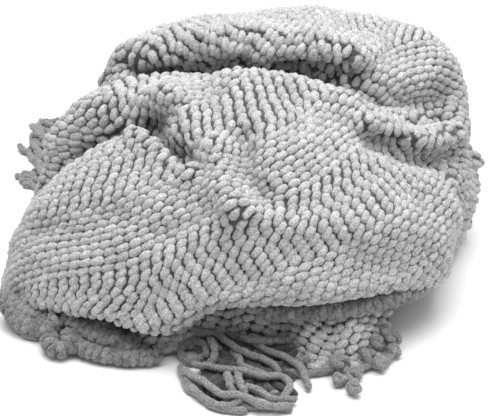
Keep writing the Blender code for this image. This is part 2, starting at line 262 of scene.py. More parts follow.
folds = {  # three places in plan, width, height, and lean where there is one
    "leftRidge": (-0.215, -0.060, -0.150, -0.050, -0.090, -0.050, 0.018, 0.004, -0.004),
    "pocket": (-0.092, -0.026, -0.078, -0.038, -0.066, -0.062, 0.013, -0.028),
    "leftValley": (-0.215, -0.016, -0.165, -0.020, -0.115, -0.026, 0.011, -0.024),
    "middleRoll": (-0.195, 0.028, -0.130, 0.018, -0.075, -0.002, 0.027, 0.014, 0.012),
    "tail": (-0.075, -0.004, -0.056, -0.026, -0.050, -0.062, 0.015, 0.014, 0.006),
    "rollBack": (-0.180, 0.058, -0.110, 0.050, -0.040, 0.034, 0.012, -0.010),
    "puffs": (-0.120, 0.070, -0.060, 0.056, -0.010, 0.036, 0.012, 0.005),
    "gap": (-0.120, 0.074, -0.020, 0.042, 0.084, 0.028, 0.013, -0.028),
    "crownRoll": (-0.140, 0.106, -0.020, 0.082, 0.110, 0.070, 0.030, 0.013, 0.036),
    "crownTop": (-0.030, 0.124, 0.020, 0.118, 0.060, 0.114, 0.045, 0.012, 0.008),
    "rim": (-0.010, 0.002, 0.130, -0.014, 0.236, 0.048, 0.018, 0.010, -0.008),
    "scoop": (0.105, 0.018, 0.165, 0.016, 0.232, 0.074, 0.017, -0.026),
    "groove": (0.120, -0.050, 0.170, -0.040, 0.225, -0.010, 0.018, -0.010),
    "frontCrest": (0.005, -0.020, 0.022, -0.090, -0.005, -0.150, 0.030, 0.008),
    "leftCrease": (-0.180, -0.120, -0.120, -0.135, -0.060, -0.150, 0.020, -0.006),
    "rightBulge": (0.130, -0.125, 0.175, -0.105, 0.200, -0.060, 0.030, 0.010, 0.006),
}
creases = {  # narrower and sharper than the folds, and laid over them
    "crownLip": (-0.126, 0.053, -0.015, 0.056, 0.100, 0.048, 0.012, 0.008, 0.012),
    "gapLeft": (-0.136, 0.036, -0.108, 0.038, -0.080, 0.044, 0.009, -0.030),
    "gapMiddle": (-0.050, 0.032, -0.020, 0.031, 0.004, 0.030, 0.008, -0.020),
    "hollow": (0.036, 0.034, 0.075, 0.033, 0.116, 0.030, 0.009, -0.022),
    "rollUnder": (-0.168, -0.010, -0.132, -0.018, -0.098, -0.026, 0.009, -0.018),
    "pocket": (-0.090, -0.040, -0.075, -0.060, -0.058, -0.092, 0.010, -0.064),
    "pocketLip": (-0.110, -0.052, -0.082, -0.080, -0.056, -0.106, 0.010, 0.012, -0.006),
    "pocketRight": (-0.052, -0.104, -0.040, -0.095, -0.026, -0.084, 0.010, 0.009),
    "crest": (-0.028, -0.083, -0.022, -0.120, -0.008, -0.148, 0.011, 0.015),
    "crestAcross": (-0.008, -0.148, 0.045, -0.151, 0.105, -0.146, 0.013, 0.008),
    "valley": (0.000, -0.070, 0.004, -0.108, 0.020, -0.134, 0.014, -0.018),
    "lip": (0.124, -0.030, 0.182, -0.012, 0.237, 0.062, 0.009, 0.016, 0.009),
    "behindLip": (0.132, -0.010, 0.188, 0.012, 0.236, 0.084, 0.012, -0.020),
    "underLip": (0.128, -0.060, 0.172, -0.044, 0.218, 0.010, 0.012, -0.008),
    "crownLow": (-0.130, 0.118, -0.075, 0.124, -0.010, 0.130, 0.036, -0.012),
    "leftStep": (-0.215, -0.085, -0.170, -0.105, -0.130, -0.115, 0.014, -0.006),
    "frontPuff": (0.060, -0.178, 0.110, -0.172, 0.160, -0.150, 0.018, 0.006),
}
sags = {  # where the cloth droops or stands out: middle, width and push
    "left": ((-0.098, -0.186, 0.076), 0.042, (0.000, -0.006, -0.024)),
    "right": ((0.185, -0.105, 0.060), 0.055, (0.014, -0.010, -0.020)),
    "side": ((0.245, 0.030, 0.070), 0.060, (0.012, 0.000, 0.000)),
    "tail": ((-0.058, -0.046, 0.182), 0.022, (-0.014, -0.008, 0.004)),
    "crownEnd": ((-0.150, 0.075, 0.140), 0.040, (0.024, 0.000, 0.000)),
    "crownCorner": ((-0.128, 0.100, 0.200), 0.030, (-0.008, -0.004, 0.006)),
}
waves = {"depth": 0.0016, "pitches": (0.083, 0.061), "phases": (1.3, 0.4)}
inner = {  # scale in plan, scale in height, rows
    "core": (0.50, 0.22, 8),
    "second": (0.66, 0.46, 10),
    "first": (0.83, 0.71, 16),
}
nest = {"middleY": 0.020, "lift": 0.016, "front": 0.05, "back": 0.90, "softRows": 21, "softPasses": 5}
hemPlaces = (0.16, 0.12, 0.08, 0.05)  # rows of the layer inside, where the stitches begin under the hem
base = {  # y, leftZ, rightZ, left, right, bow, ripple
    "frontEnd": (-0.212, 0.0040, 0.0040, 0.200, 0.134, 0.050, 0.000),
    "toe": (-0.203, 0.0050, 0.0045, 0.200, 0.136, 0.050, 0.000),
    "toeRise": (-0.195, 0.0150, 0.0160, 0.195, 0.140, 0.050, 0.005),
    "instep": (-0.182, 0.0150, 0.0320, 0.184, 0.147, 0.050, 0.006),
    "hump": (-0.158, 0.0100, 0.0430, 0.175, 0.154, 0.048, 0.004),
    "slope": (-0.132, 0.0060, 0.0220, 0.174, 0.156, 0.044, 0.002),
    "heel": (-0.106, 0.0045, 0.0060, 0.160, 0.152, 0.038, 0.000),
    "flatFront": (-0.072, 0.0040, 0.0040, 0.145, 0.142, 0.030, 0.000),
    "flatMiddle": (-0.010, 0.0040, 0.0040, 0.120, 0.128, 0.014, 0.000),
    "flatBack": (0.060, 0.0040, 0.0040, 0.090, 0.112, -0.006, 0.000),
    "turnFoot": (0.096, 0.0040, 0.0040, 0.080, 0.104, -0.016, 0.000),
}
drawnBack = {  # how far the end is drawn back, along x
    "x": (-0.200, -0.120, -0.050, 0.000, 0.045, 0.070, 0.105, 0.134, 0.160),
    "by": (0.000, 0.010, 0.048, 0.050, 0.034, -0.004, -0.022, -0.018, 0.000),
    "heelY": -0.106,
}
ripples = {"riseX": (-0.110, -0.020), "pitches": (0.052, 0.081), "start": 0.6}
turns = {"shares": (0.125, 0.25, 0.375, 0.5, 0.625, 0.75, 0.875), "lowest": 0.0048}


def spline(knots, values, at):
    knots, values, at = [np.asarray(item, float) for item in (knots, values, at)]
    slopes = np.gradient(values, knots, axis=0)
    cell = np.clip(np.searchsorted(knots, at, side="right") - 1, 0, len(knots) - 2)
    span = (knots[cell + 1] - knots[cell])[:, None]
    s = (at - knots[cell])[:, None] / span
    return (
        (2 * s**3 - 3 * s**2 + 1) * values[cell]
        + (s**3 - 2 * s**2 + s) * span * slopes[cell]
        + (3 * s**2 - 2 * s**3) * values[cell + 1]
        + (s**3 - s**2) * span * slopes[cell + 1]
    )


def runAlong(points):
    return np.concatenate([[0.0], np.cumsum(np.linalg.norm(np.diff(points, axis=0), axis=1))])


def readLine(at, run, points):
    return np.stack([np.interp(at, run, points[:, axis]) for axis in range(3)], axis=-1)


def unit(vectors):
    return vectors / np.maximum(np.linalg.norm(vectors, axis=-1, keepdims=True), 1e-9)


def evenSteps(points, count):
    run = runAlong(points)
    return readLine(np.linspace(0.0, run[-1], count), run, points)


def arch(y, z, left, right, leftY, rightY, leftZ, rightZ, leftFull, rightFull):
    turn = np.linspace(0.0, math.pi, cloth["archSteps"])
    isLeft = turn < math.pi / 2
    full = np.where(isLeft, leftFull, rightFull)
    side = -np.sign(np.cos(turn)) * np.abs(np.cos(turn)) ** (2 / full)
    rise = np.abs(np.sin(turn)) ** (2 / full)
    reach = np.where(isLeft, left, right * (1 - cloth["tuck"] * (1 - rise) ** 2))
    footZ = np.where(isLeft, leftZ, rightZ)
    endsY = np.where(isLeft, leftY, rightY)
    depth = y + (endsY - y) * np.abs(side) ** cloth["bow"]
    height = footZ + (z - footZ) * rise
    return evenSteps(np.stack([side * reach, depth, height], axis=1), cloth["columns"] + 1)


def surfaceNormals(grid):
    return unit(np.cross(np.gradient(grid, axis=1), np.gradient(grid, axis=0)))


def onSurface(grid, x, y):
    distance = np.hypot(grid[:, :, 0] - x, grid[:, :, 1] - y).ravel()
    nearest = np.argsort(distance)[:4]
    weights = 1 / (distance[nearest] + 1e-4)
    return float(np.sum(grid[:, :, 2].ravel()[nearest] * weights) / np.sum(weights))


def pushFold(grid, normals, x1, y1, x2, y2, x3, y3, width, height, lean=0.0):
    plan = spline([0.0, 0.5, 1.0], [(x1, y1), (x2, y2), (x3, y3)], np.linspace(0, 1, cloth["foldPoints"]))
    crest = np.array([(x, y, onSurface(grid, x, y)) for x, y in plan])
    away = np.full(grid.shape[:2], 9.0)
    for point in crest:
        away = np.minimum(away, np.linalg.norm(grid - point, axis=2))
    swell = np.exp(-((away / width) ** 2))[:, :, None]
    return swell * (normals * height + np.array([0.0, -lean, 0.0]))


def rowAt(grid, t):
    place = t * (len(grid) - 1)
    lower = min(int(place), len(grid) - 2)
    return grid[lower] + (grid[lower + 1] - grid[lower]) * (place - lower)


def outerLayer():
    table = np.array(list(lines.values()))
    run = np.concatenate([[0.0], np.cumsum(np.hypot(np.diff(table[:, 0]), np.diff(table[:, 1])))])
    shares = np.linspace(0.0, 1.0, cloth["denseRows"])
    many = spline(run / run[-1], table, shares)
    smooth = np.array([arch(*line) for line in many])
    normals = surfaceNormals(smooth)
    moved = smooth.copy()
    for fold in folds.values():
        moved += pushFold(smooth, normals, *fold)
    folded, normals = moved, surfaceNormals(moved)
    moved = folded.copy()
    for crease in creases.values():
        moved += pushFold(folded, normals, *crease)
    for middle, width, push in sags.values():
        near = np.exp(-np.sum((folded - np.array(middle)) ** 2, axis=2) / width**2)
        moved += near[:, :, None] * np.array(push)
    across, along = [2 * math.pi / pitch for pitch in waves["pitches"]]
    first, second = waves["phases"]
    x, y, z = np.moveaxis(folded, 2, 0)
    swell = np.sin(across * x + first) * np.sin(along * (y + z) + second)
    moved += normals * (waves["depth"] * swell)[:, :, None]
    lowest = np.interp(shares, cloth["endLiesFrom"], (cloth["lowestFoot"], cloth["half"]))
    moved[:, :, 2] = np.maximum(moved[:, :, 2], lowest[:, None])
    return moved


def softened(grid):
    soft = np.array([rowAt(grid, t) for t in np.linspace(0.0, 1.0, nest["softRows"])])
    passes = nest["softPasses"]
    across = passes * (cloth["columns"] // cloth["solidColumns"]) ** 2
    for step in range(across):
        soft[:, 1:-1] = (soft[:, :-2] + 2 * soft[:, 1:-1] + soft[:, 2:]) / 4
        if step < passes:
            soft[1:-1] = (soft[:-2] + 2 * soft[1:-1] + soft[2:]) / 4
    return soft


def innerRow(soft, t, planScale, heightScale):
    row = rowAt(soft, t).copy()
    row[:, 0] *= planScale
    row[:, 1] = nest["middleY"] + planScale * (row[:, 1] - nest["middleY"])
    row[:, 2] = nest["lift"] + heightScale * row[:, 2]
    return row


def baseRow(y, leftZ, rightZ, left, right, bow, ripple):
    share = np.linspace(-1.0, 1.0, cloth["columns"] + 1)
    x = np.where(share < 0, share * left, share * right)
    narrow, wide = [np.sin(2 * math.pi * x / pitch + ripples["start"]) for pitch in ripples["pitches"]]
    low, high = ripples["riseX"]
    rise = np.clip((x - low) / (high - low), 0.0, 1.0)
    height = leftZ + (rightZ - leftZ) * rise**2 * (3 - 2 * rise) + ripple * (narrow + wide / 2)
    endOnly = max(0.0, (drawnBack["heelY"] - y) / -drawnBack["heelY"])
    back = np.interp(x, drawnBack["x"], drawnBack["by"]) * endOnly
    return np.stack([x, y + bow * share**2 + back, np.maximum(height, cloth["half"])], axis=1)


def baseRows(each):
    table = np.array(list(base.values()))
    known = np.arange(len(table), dtype=float)
    many = spline(known, table, np.linspace(0.0, len(table) - 1.0, each * (len(table) - 1) + 1))
    return [baseRow(*line) for line in many]


def turnRows(before, edge, nextEdge):
    middle = (edge + nextEdge) / 2
    half = (edge - nextEdge) / 2
    size = np.linalg.norm(half, axis=1, keepdims=True)
    onward = edge - before
    onward -= half * (np.sum(onward * half, axis=1, keepdims=True) / size**2)
    onward = unit(onward)
    rows = []
    for share in turns["shares"]:
        angle = share * math.pi
        row = middle + half * math.cos(angle) + onward * size * math.sin(angle)
        row[:, 2] = np.maximum(row[:, 2], turns["lowest"])
        rows.append(row)
    return rows


def gridObject(name, rows):
    mesh = bpy.data.meshes.new(name)
    bm = bmesh.new()
    bmesh.ops.create_grid(bm, x_segments=len(rows[0]) - 1, y_segments=len(rows) - 1, size=1.0)
    order = sorted(bm.verts, key=lambda v: (round(v.co.y, 5), round(v.co.x, 5)))
    for vert, place in zip(order, np.concatenate(rows)):
        vert.co = place
    for face in bm.faces:
        face.smooth = True
    bm.normal_update()
    bm.to_mesh(mesh)
    bm.free()
    piece = addObject(name, mesh)
    return piece


foldedOuter = outerLayer()
softOuter = softened(foldedOuter)
layers = [baseRows(cloth["baseSteps"])]
fromBack = True
for planScale, heightScale, count in inner.values():
    places = np.linspace(nest["front"], nest["back"], count)
    if fromBack:
        places = places[::-1]
    layers.append([innerRow(softOuter, t, planScale, heightScale) for t in places])
    fromBack = not fromBack
layers.append([rowAt(foldedOuter, t) for t in np.linspace(0.0, 1.0, cloth["outerRows"])])
clothRows = list(layers[0])
for layer in layers[1:]:
    hemTurn = turnRows(clothRows[-2], clothRows[-1], layer[0])
    clothRows += hemTurn + layer
throwSheet = gridObject("throwCloth", [row + heapShift for row in clothRows])
wall = throwSheet.modifiers.new("Thickness", "SOLIDIFY")
wall.thickness = cloth["thickness"]
wall.offset = 0.0
# painted shade: the cloth under the beans is near black, for the deep shade between them
throwSheet.data.materials.append(materials["paintedShadeYarn"])
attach(throwSheet, "root")
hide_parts("throw")
print("stage: cloth,", len(clothRows), "rows")


# The stitches: beans of yarn in leaning columns that turn every few courses

stitch = {
    "wale": 0.0138,  # from one bean to the next along a course
    "course": 0.0076,
    "lean": 0.34,  # how far each course shifts, in wales
    "band": 9,  # courses between two turns of the zigzag
    "length": 0.0160,
    "width": 0.0100,
    "height": 0.0106,
    "sunk": 0.0018,
    "deeper": 0.0022,  # sunk by this besides, but not on the rolls
    "clear": 0.0003,  # over the floor
    "lift": 0.7,  # share of what a bean lacks to be clear
    "tilt": 4.0,  # degrees, of every bean
    "tiltByBand": 14.0,  # degrees, against the band's lean
    "loose": 0.035,
    "looseTilt": 2.5,  # degrees
    "fuzz": 0.00042,
    "sweeps": 260,
    "lineReach": 1.6,  # rows
    "linePasses": 30,
    "steepest": 0.98,
    "softPasses": 20,
    # painted shade in the cloth's hollows: passes to find them, the depth that gets the full shade, and the
    # tone that full shade takes off
    "cavityPasses": 14,
    "cavityDepth": 0.006,
    "cavityShade": 0.9,
    "bare": 0.0088,  # farther than this from any bean, the cloth gets another
    "barePitch": 0.34,  # cells of the cloth's grid between two places looked at
    "bareSpacing": 0.96,
    "fewest": 4,  # columns in a stretch of a course
}
beanForm = {"around": 9, "along": 8, "blunt": 2.8, "bluntMost": 1.3, "bend": 0.14, "droop": 0.12}
courseLine = (  # a course where the zigzag turns, across the front of the heap
    (-0.233, -0.098, 0.030),
    (-0.206, -0.119, 0.059),
    (-0.142, -0.155, 0.089),
    (-0.092, -0.160, 0.115),
    (-0.053, -0.150, 0.132),
    (-0.024, -0.145, 0.153),
    (0.010, -0.147, 0.156),
    (0.034, -0.141, 0.155),
    (0.065, -0.118, 0.166),
    (0.096, -0.093, 0.175),
    (0.132, -0.033, 0.182),
    (0.168, 0.039, 0.180),
    (0.195, 0.064, 0.195),
)
luck = np.random.default_rng(7)


def readGrid(field, row, column):
    # the value of a grid between its points
    r = np.clip(np.floor(row).astype(int), 0, field.shape[0] - 2)
    c = np.clip(np.floor(column).astype(int), 0, field.shape[1] - 2)
    down, right = (row - r)[:, None], (column - c)[:, None]
    return (
        field[r, c] * (1 - down) * (1 - right)
        + field[r + 1, c] * down * (1 - right)
        + field[r, c + 1] * (1 - down) * right
        + field[r + 1, c + 1] * down * right
    )


def toLine(point, line):
    start, step = line[:-1], np.diff(line, axis=0)
    share = np.sum((point - start) * step, axis=1) / np.maximum(np.sum(step**2, axis=1), 1e-12)
    return np.min(np.linalg.norm(start + np.clip(share, 0.0, 1.0)[:, None] * step - point, axis=1))


def distanceFrom(grid, lineRow):
    # how far each point of the cloth is from a line, over the folds: a front that spreads cell by cell
    rows, columns = grid.shape[:2]
    line = readGrid(grid, lineRow, np.arange(columns, dtype=float))
    wide = np.pad(grid, ((1, 1), (1, 1), (0, 0)), mode="edge")
    far = np.full((rows + 2, columns + 2), 9.0)
    for r, c in np.argwhere(np.abs(np.arange(rows)[:, None] - lineRow[None, :]) < stitch["lineReach"]):
        far[r + 1, c + 1] = toLine(grid[r, c], line)

    def beside(field, step):
        return field[1 + step[0]:rows + 1 + step[0], 1 + step[1]:columns + 1 + step[1]]

    ring = [(-1, -1), (-1, 0), (-1, 1), (0, 1), (1, 1), (1, 0), (1, -1), (0, -1)]
    corners = []
    for one, two in zip(ring, ring[1:] + ring[:1]):
        a, b = beside(wide, one), beside(wide, two)
        edge = np.maximum(np.linalg.norm(b - a, axis=2), 1e-9)
        foot = np.sum((grid - a) * (b - a), axis=2) / edge
        reach = np.linalg.norm(grid - a, axis=2)
        corners.append((one, two, edge, foot, np.sqrt(np.maximum(reach**2 - foot**2, 0.0)), reach))
    steepest = stitch["steepest"]
    for _ in range(stitch["sweeps"]):
        best = far[1:-1, 1:-1].copy()
        for one, two, edge, foot, tall, reach in corners:
            a, b = beside(far, one), beside(far, two)
            slope = np.clip((b - a) / edge, -steepest, steepest)
            rise = np.sqrt(1 - slope**2)
            start = foot - tall * slope / rise
            across = (np.abs(b - a) < steepest * edge) & (start >= 0) & (start <= edge)
            best = np.minimum(best, np.where(across, a + slope * foot + rise * tall, a + reach))
        far[1:-1, 1:-1] = best
    return far[1:-1, 1:-1]


def lineRows(grid, line):
    # the row at which each of the grid's columns crosses the line
    found = []
    for place in line:
        away = np.linalg.norm(grid - np.array(place), axis=2)
        found.append(np.unravel_index(np.argmin(away), away.shape))
    found.sort(key=lambda item: item[1])
    rows, columns = np.array(found, float).T
    level = np.interp(np.arange(grid.shape[1]), columns, rows)
    for _ in range(stitch["linePasses"]):
        level[1:-1] = (level[:-2] + 2 * level[1:-1] + level[2:]) / 4
    return level


def relaxed(field, passes):
    # each inner value goes to the mean of its four neighbours
    field = field.copy()
    for _ in range(passes):
        field[1:-1, 1:-1] = (field[:-2, 1:-1] + field[2:, 1:-1] + field[1:-1, :-2] + field[1:-1, 2:]) / 4
    return field


def stitchField(grid, lineRow):
    # places, course directions, normals and course numbers of every bean on one stretch of cloth
    rows, columns = grid.shape[:2]
    ahead = distanceFrom(grid, lineRow) * np.where(np.arange(rows)[:, None] < lineRow[None, :], -1.0, 1.0)
    ahead = relaxed(ahead, stitch["softPasses"])
    ahead = np.maximum.accumulate(ahead, axis=0) + np.arange(rows)[:, None] * 1e-7
    normals = surfaceNormals(grid)
    low, high = math.ceil(ahead.min() / stitch["course"]), math.floor(ahead.max() / stitch["course"])
    known, beans = {}, []
    for k in sorted(range(low, high + 1), key=abs):
        level = k * stitch["course"]
        rowOf = np.array([np.interp(level, ahead[:, c], np.arange(rows)) for c in range(columns)])
        crossed = np.flatnonzero((ahead[0] <= level) & (ahead[-1] >= level))
        points = readGrid(grid, rowOf, np.arange(columns, dtype=float))
        runs = np.full(columns, np.nan)
        before = known.get(k - 1 if k > 0 else k + 1)
        for part in np.split(crossed, np.flatnonzero(np.diff(crossed) > 1) + 1):
            if len(part) < stitch["fewest"]:
                continue
            own = points[part]
            run = runAlong(own)
            along = unit(np.gradient(own, axis=0))
            offset = -np.interp(columns / 2, part, run)
            if before is not None:
                slip = before[0][part] - run + np.sum((own - before[1][part]) * along, axis=1)
                if np.isfinite(slip).any():
                    offset = np.nanmean(slip)
            run = run + offset
            runs[part] = run
            phase = k % (2 * stitch["band"])
            shift = stitch["lean"] * (phase if phase < stitch["band"] else 2 * stitch["band"] - phase)
            first = math.ceil(run[0] / stitch["wale"] - shift)
            last = math.floor(run[-1] / stitch["wale"] - shift)
            places = (np.arange(first, last + 1) + shift) * stitch["wale"]
            column = np.interp(places, run, part)
            row = np.interp(places, run, rowOf[part])
            heading = readLine(places, run, along)
            faces = readGrid(normals, row, column)
            number = np.full((len(places), 1), float(k))
            beans.append(np.hstack([readGrid(grid, row, column), heading, faces, number]))
        known[k] = (runs, points)
    beans = np.concatenate(beans)
    return beans[:, :3], beans[:, 3:6], beans[:, 6:9], beans[:, 9].astype(int)


def beanShape():
    bm = bmesh.new()
    bmesh.ops.create_uvsphere(bm, u_segments=beanForm["around"], v_segments=beanForm["along"], radius=0.5)
    bmesh.ops.rotate(bm, verts=bm.verts[:], cent=(0, 0, 0), matrix=Matrix.Rotation(math.pi / 2, 3, "Y"))
    for vert in bm.verts:
        x, y, z = vert.co
        full = math.sqrt(max(0.0, 1 - abs(2 * x) ** beanForm["blunt"]))
        blunt = min(full / math.sqrt(max(1e-6, 1 - (2 * x) ** 2)), beanForm["bluntMost"])
        bend = beanForm["bend"] * math.sin(math.pi * x)
        vert.co = (x, y * blunt + bend, z * blunt - beanForm["droop"] * (2 * x) ** 2)
    bm.verts.index_update()
    bmesh.ops.triangulate(bm, faces=bm.faces[:])
    points = np.array([vert.co[:] for vert in bm.verts])
    rings = [[vert.index for vert in face.verts] for face in bm.faces]
    turned = [ring[ring.index(min(ring)):] + ring[:ring.index(min(ring))] for ring in rings]
    corners = np.array(sorted(turned))  # the operators give the faces in a new order in each run
    bm.free()
    proud = np.clip(points[:, 2] + 0.5, 0.0, 1.0)
    return points, corners, proud


def joinedBeans(name, places, axes, tone):
    points, corners, depth = bean
    count = len(places)
    verts = places[:, None, :] + np.einsum("nij,pj->npi", axes, points)
    verts += luck.normal(0.0, stitch["fuzz"], verts.shape)
    verts[:, :, 2] = np.maximum(verts[:, :, 2], 0.0)
    faces = corners[None, :, :] + (np.arange(count) * len(points))[:, None, None]
    mesh = bpy.data.meshes.new(name)
    mesh.vertices.add(count * len(points))
    mesh.vertices.foreach_set("co", verts.astype(np.float32).ravel())
    mesh.loops.add(count * len(corners) * 3)
    mesh.loops.foreach_set("vertex_index", faces.astype(np.int32).ravel())
    mesh.polygons.add(count * len(corners))
    mesh.polygons.foreach_set("loop_start", np.arange(0, count * len(corners) * 3, 3, dtype=np.int32))
    mesh.update(calc_edges=True)
    mesh.shade_smooth()
    shade = mesh.attributes.new("tone", "FLOAT", "POINT")
    shade.data.foreach_set("value", np.repeat(tone, len(points)).astype(np.float32))
    # proud: each point's height within its bean, for the painted shade at the roots
    buried = mesh.attributes.new("proud", "FLOAT", "POINT")
    buried.data.foreach_set("value", np.tile(depth, count).astype(np.float32))
    mesh.materials.append(materials["throwYarn"])
    piece = addObject(name, mesh)
    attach(piece, "root")
    return piece


def beanAxes(along, normal, courses):
    count = len(courses)
    normal = unit(normal)
    along = unit(along - normal * np.sum(along * normal, axis=1, keepdims=True))
    upward = np.cross(normal, along)
    band = np.where((courses % (2 * stitch["band"])) < stitch["band"], 1.0, -1.0)
    degrees = stitch["tilt"] - stitch["tiltByBand"] * band + luck.normal(0.0, stitch["looseTilt"], count)
    tilt = np.radians(degrees)[:, None]
    swell = 1 + luck.normal(0.0, stitch["loose"], (count, 3))
    lengthAxis = (along * np.cos(tilt) + upward * np.sin(tilt)) * stitch["length"] * swell[:, :1]
    widthAxis = (upward * np.cos(tilt) - along * np.sin(tilt)) * stitch["width"] * swell[:, 1:2]
    heightAxis = normal * stitch["height"] * swell[:, 2:3]
    return np.stack([lengthAxis, widthAxis, heightAxis], axis=2)


def treeOf(points):
    tree = kdtree.KDTree(len(points))
    for number, point in enumerate(points):
        tree.insert(point, number)
    tree.balance()
    return tree


def fillBare(grid, place, along, normal, courses):
    # beans for whatever the courses left bare, such as where they close in on themselves
    tree = treeOf(place)
    sideways = unit(np.gradient(grid, axis=1))
    known = np.concatenate([grid, sideways, surfaceNormals(grid)], axis=2)
    rows, columns = [np.arange(0.5, size - 1.5, stitch["barePitch"]) for size in grid.shape[:2]]
    more = []
    for r in rows:
        for spot in readGrid(known, np.full(len(columns), r), columns):
            point, heading = spot[:3], spot[3:6]
            if tree.find(point)[2] < stitch["bare"]:
                continue
            away = point - np.array([other[0] for other in more]).reshape(-1, 3)
            across = away @ heading
            beyond = np.linalg.norm(away - across[:, None] * heading, axis=1)
            if np.any(np.hypot(across / stitch["wale"], beyond / stitch["course"]) < stitch["bareSpacing"]):
                continue
            more.append((point, heading, spot[6:]))
    print("stage: bare places filled,", len(more))
    if not more:
        return place, along, normal, courses
    points, headings, faces = [np.array(item) for item in zip(*more)]
    joined = [np.concatenate(pair) for pair in ((place, points), (along, headings), (normal, faces))]
    return (*joined, np.concatenate([courses, np.zeros(len(more), int)]))


def cavity(grid, place):
    # how far below its surroundings the cloth lies under each bean, in metres, for the painted shade in its
    # hollows
    smooth = relaxed(grid, stitch["cavityPasses"])
    below = np.sum((smooth - grid) * surfaceNormals(grid), axis=2).ravel()
    tree = treeOf(grid.reshape(-1, 3))
    return np.array([below[tree.find(point)[1]] for point in place])


def clearFloor(place, axes):
    # lifts beans that would reach into the floor
    lowest = place[:, 2] - 0.5 * np.abs(axes[:, 2]).sum(axis=1)
    place[:, 2] += np.maximum(0.0, stitch["clear"] - lowest) * stitch["lift"]


def seatBeans(grid, lineRow):
    # the beans of a stretch of cloth, seated on its face
    place, along, normal, courses = fillBare(grid, *stitchField(grid, lineRow))
    axes = beanAxes(along, normal, courses)
    shade = np.clip(cavity(grid, place) / stitch["cavityDepth"], 0.0, 1.0)
    place = place + normal * (stitch["height"] / 2 - stitch["sunk"] - stitch["deeper"]) + heapShift
    clearFloor(place, axes)
    # the tone: random from bean to bean, less painted shade where the cloth lies in a hollow
    return place, axes, luck.random(len(place)) - stitch["cavityShade"] * shade


firstLayer = [innerRow(softOuter, t, *inner["first"][:2]) for t in hemPlaces]
outerRows = [rowAt(foldedOuter, t) for t in np.linspace(0.0, 1.0, cloth["denseRows"])]
foldedBody = np.array(firstLayer + hemTurn + outerRows)
place, axes, tone = seatBeans(foldedBody, lineRows(foldedBody, courseLine))
bean = beanShape()
print("stage: beans", len(place), "of", len(bean[1]), "triangles")
groups = {  # each piece's first and last y
    "stitchesFront": (-9.0, -0.145),
    "stitchesPanel": (-0.145, -0.075),
    "stitchesMiddle": (-0.075, 0.0),
    "stitchesRim": (0.0, 0.07),
    "stitchesCrown": (0.07, 0.135),
    "stitchesBack": (0.135, 9.0),
}
stitchPieces = []
for name, (frontY, backY) in groups.items():
    own = (place[:, 1] >= frontY) & (place[:, 1] < backY)
    stitchPieces.append(joinedBeans(name, place[own], axes[own], tone[own]))
    print("stage:", name, int(own.sum()))


# The end that comes out under the hem, with its own columns of beans

apronValues = {"rows": 22, "lineRow": 0.5, "paintedLight": 0.7}
apronGrid = np.array(clothRows[:apronValues["rows"]])
apronPlace, axes, tone = seatBeans(apronGrid, np.full(apronGrid.shape[1], apronValues["lineRow"]))
# painted light: the apron's beans are made lighter than the other stitches of the same yarn
tone += apronValues["paintedLight"]
stitchPieces.append(joinedBeans("stitchesApron", apronPlace, axes, tone))
print("stage: stitchesApron", len(apronPlace))


# The fringe: knots along each end of the cloth, and the strands that hang out of them

fringe = {
    "strand": 0.0076,
    "points": 36,
    "sides": 4,
    "each": 3,
    "pitch": 0.0185,
    "knot": 0.00567,
    "knotPoints": 30,
    "knotDeep": 1.1,
    "knotTall": 1.5,
    "knotRoll": (-0.5, 0.5),
    "looseRoll": (-0.9, 0.9),
    "knotOut": 0.010,
    "knotZ": 0.0095,
    "strandOut": 0.006,
    "strandGap": 0.8,
    "turned": 14.0,  # degrees
    "curled": 30.0,  # degrees
    "lengths": (0.82, 1.1),
    "rise": (0.004, 0.022),
    "riseEnds": 1.6,  # the rise ends at the length over this
    "backToX": 0.040,
    "settlePasses": 60,
    "sink": 0.0006,
    "ceiling": 0.045,
    "touch": 0.93,  # of a strand's thickness
    "push": 0.25,
    "stiff": 0.06,
    "wander": 9.0,
    "wanderKept": 0.35,
    "waver": 0.0006,
    "uneven": 0.05,
    "tip": 0.6,
}
backTufts = (  # share of the end, degrees left of straight out, metres, degrees turned by the tip
    (0.00, -10.0, 0.060, 40.0),
    (0.30, -8.0, 0.075, -40.0),
    (0.70, 0.0, 0.075, 30.0),
    (1.00, 12.0, 0.070, -30.0),
)
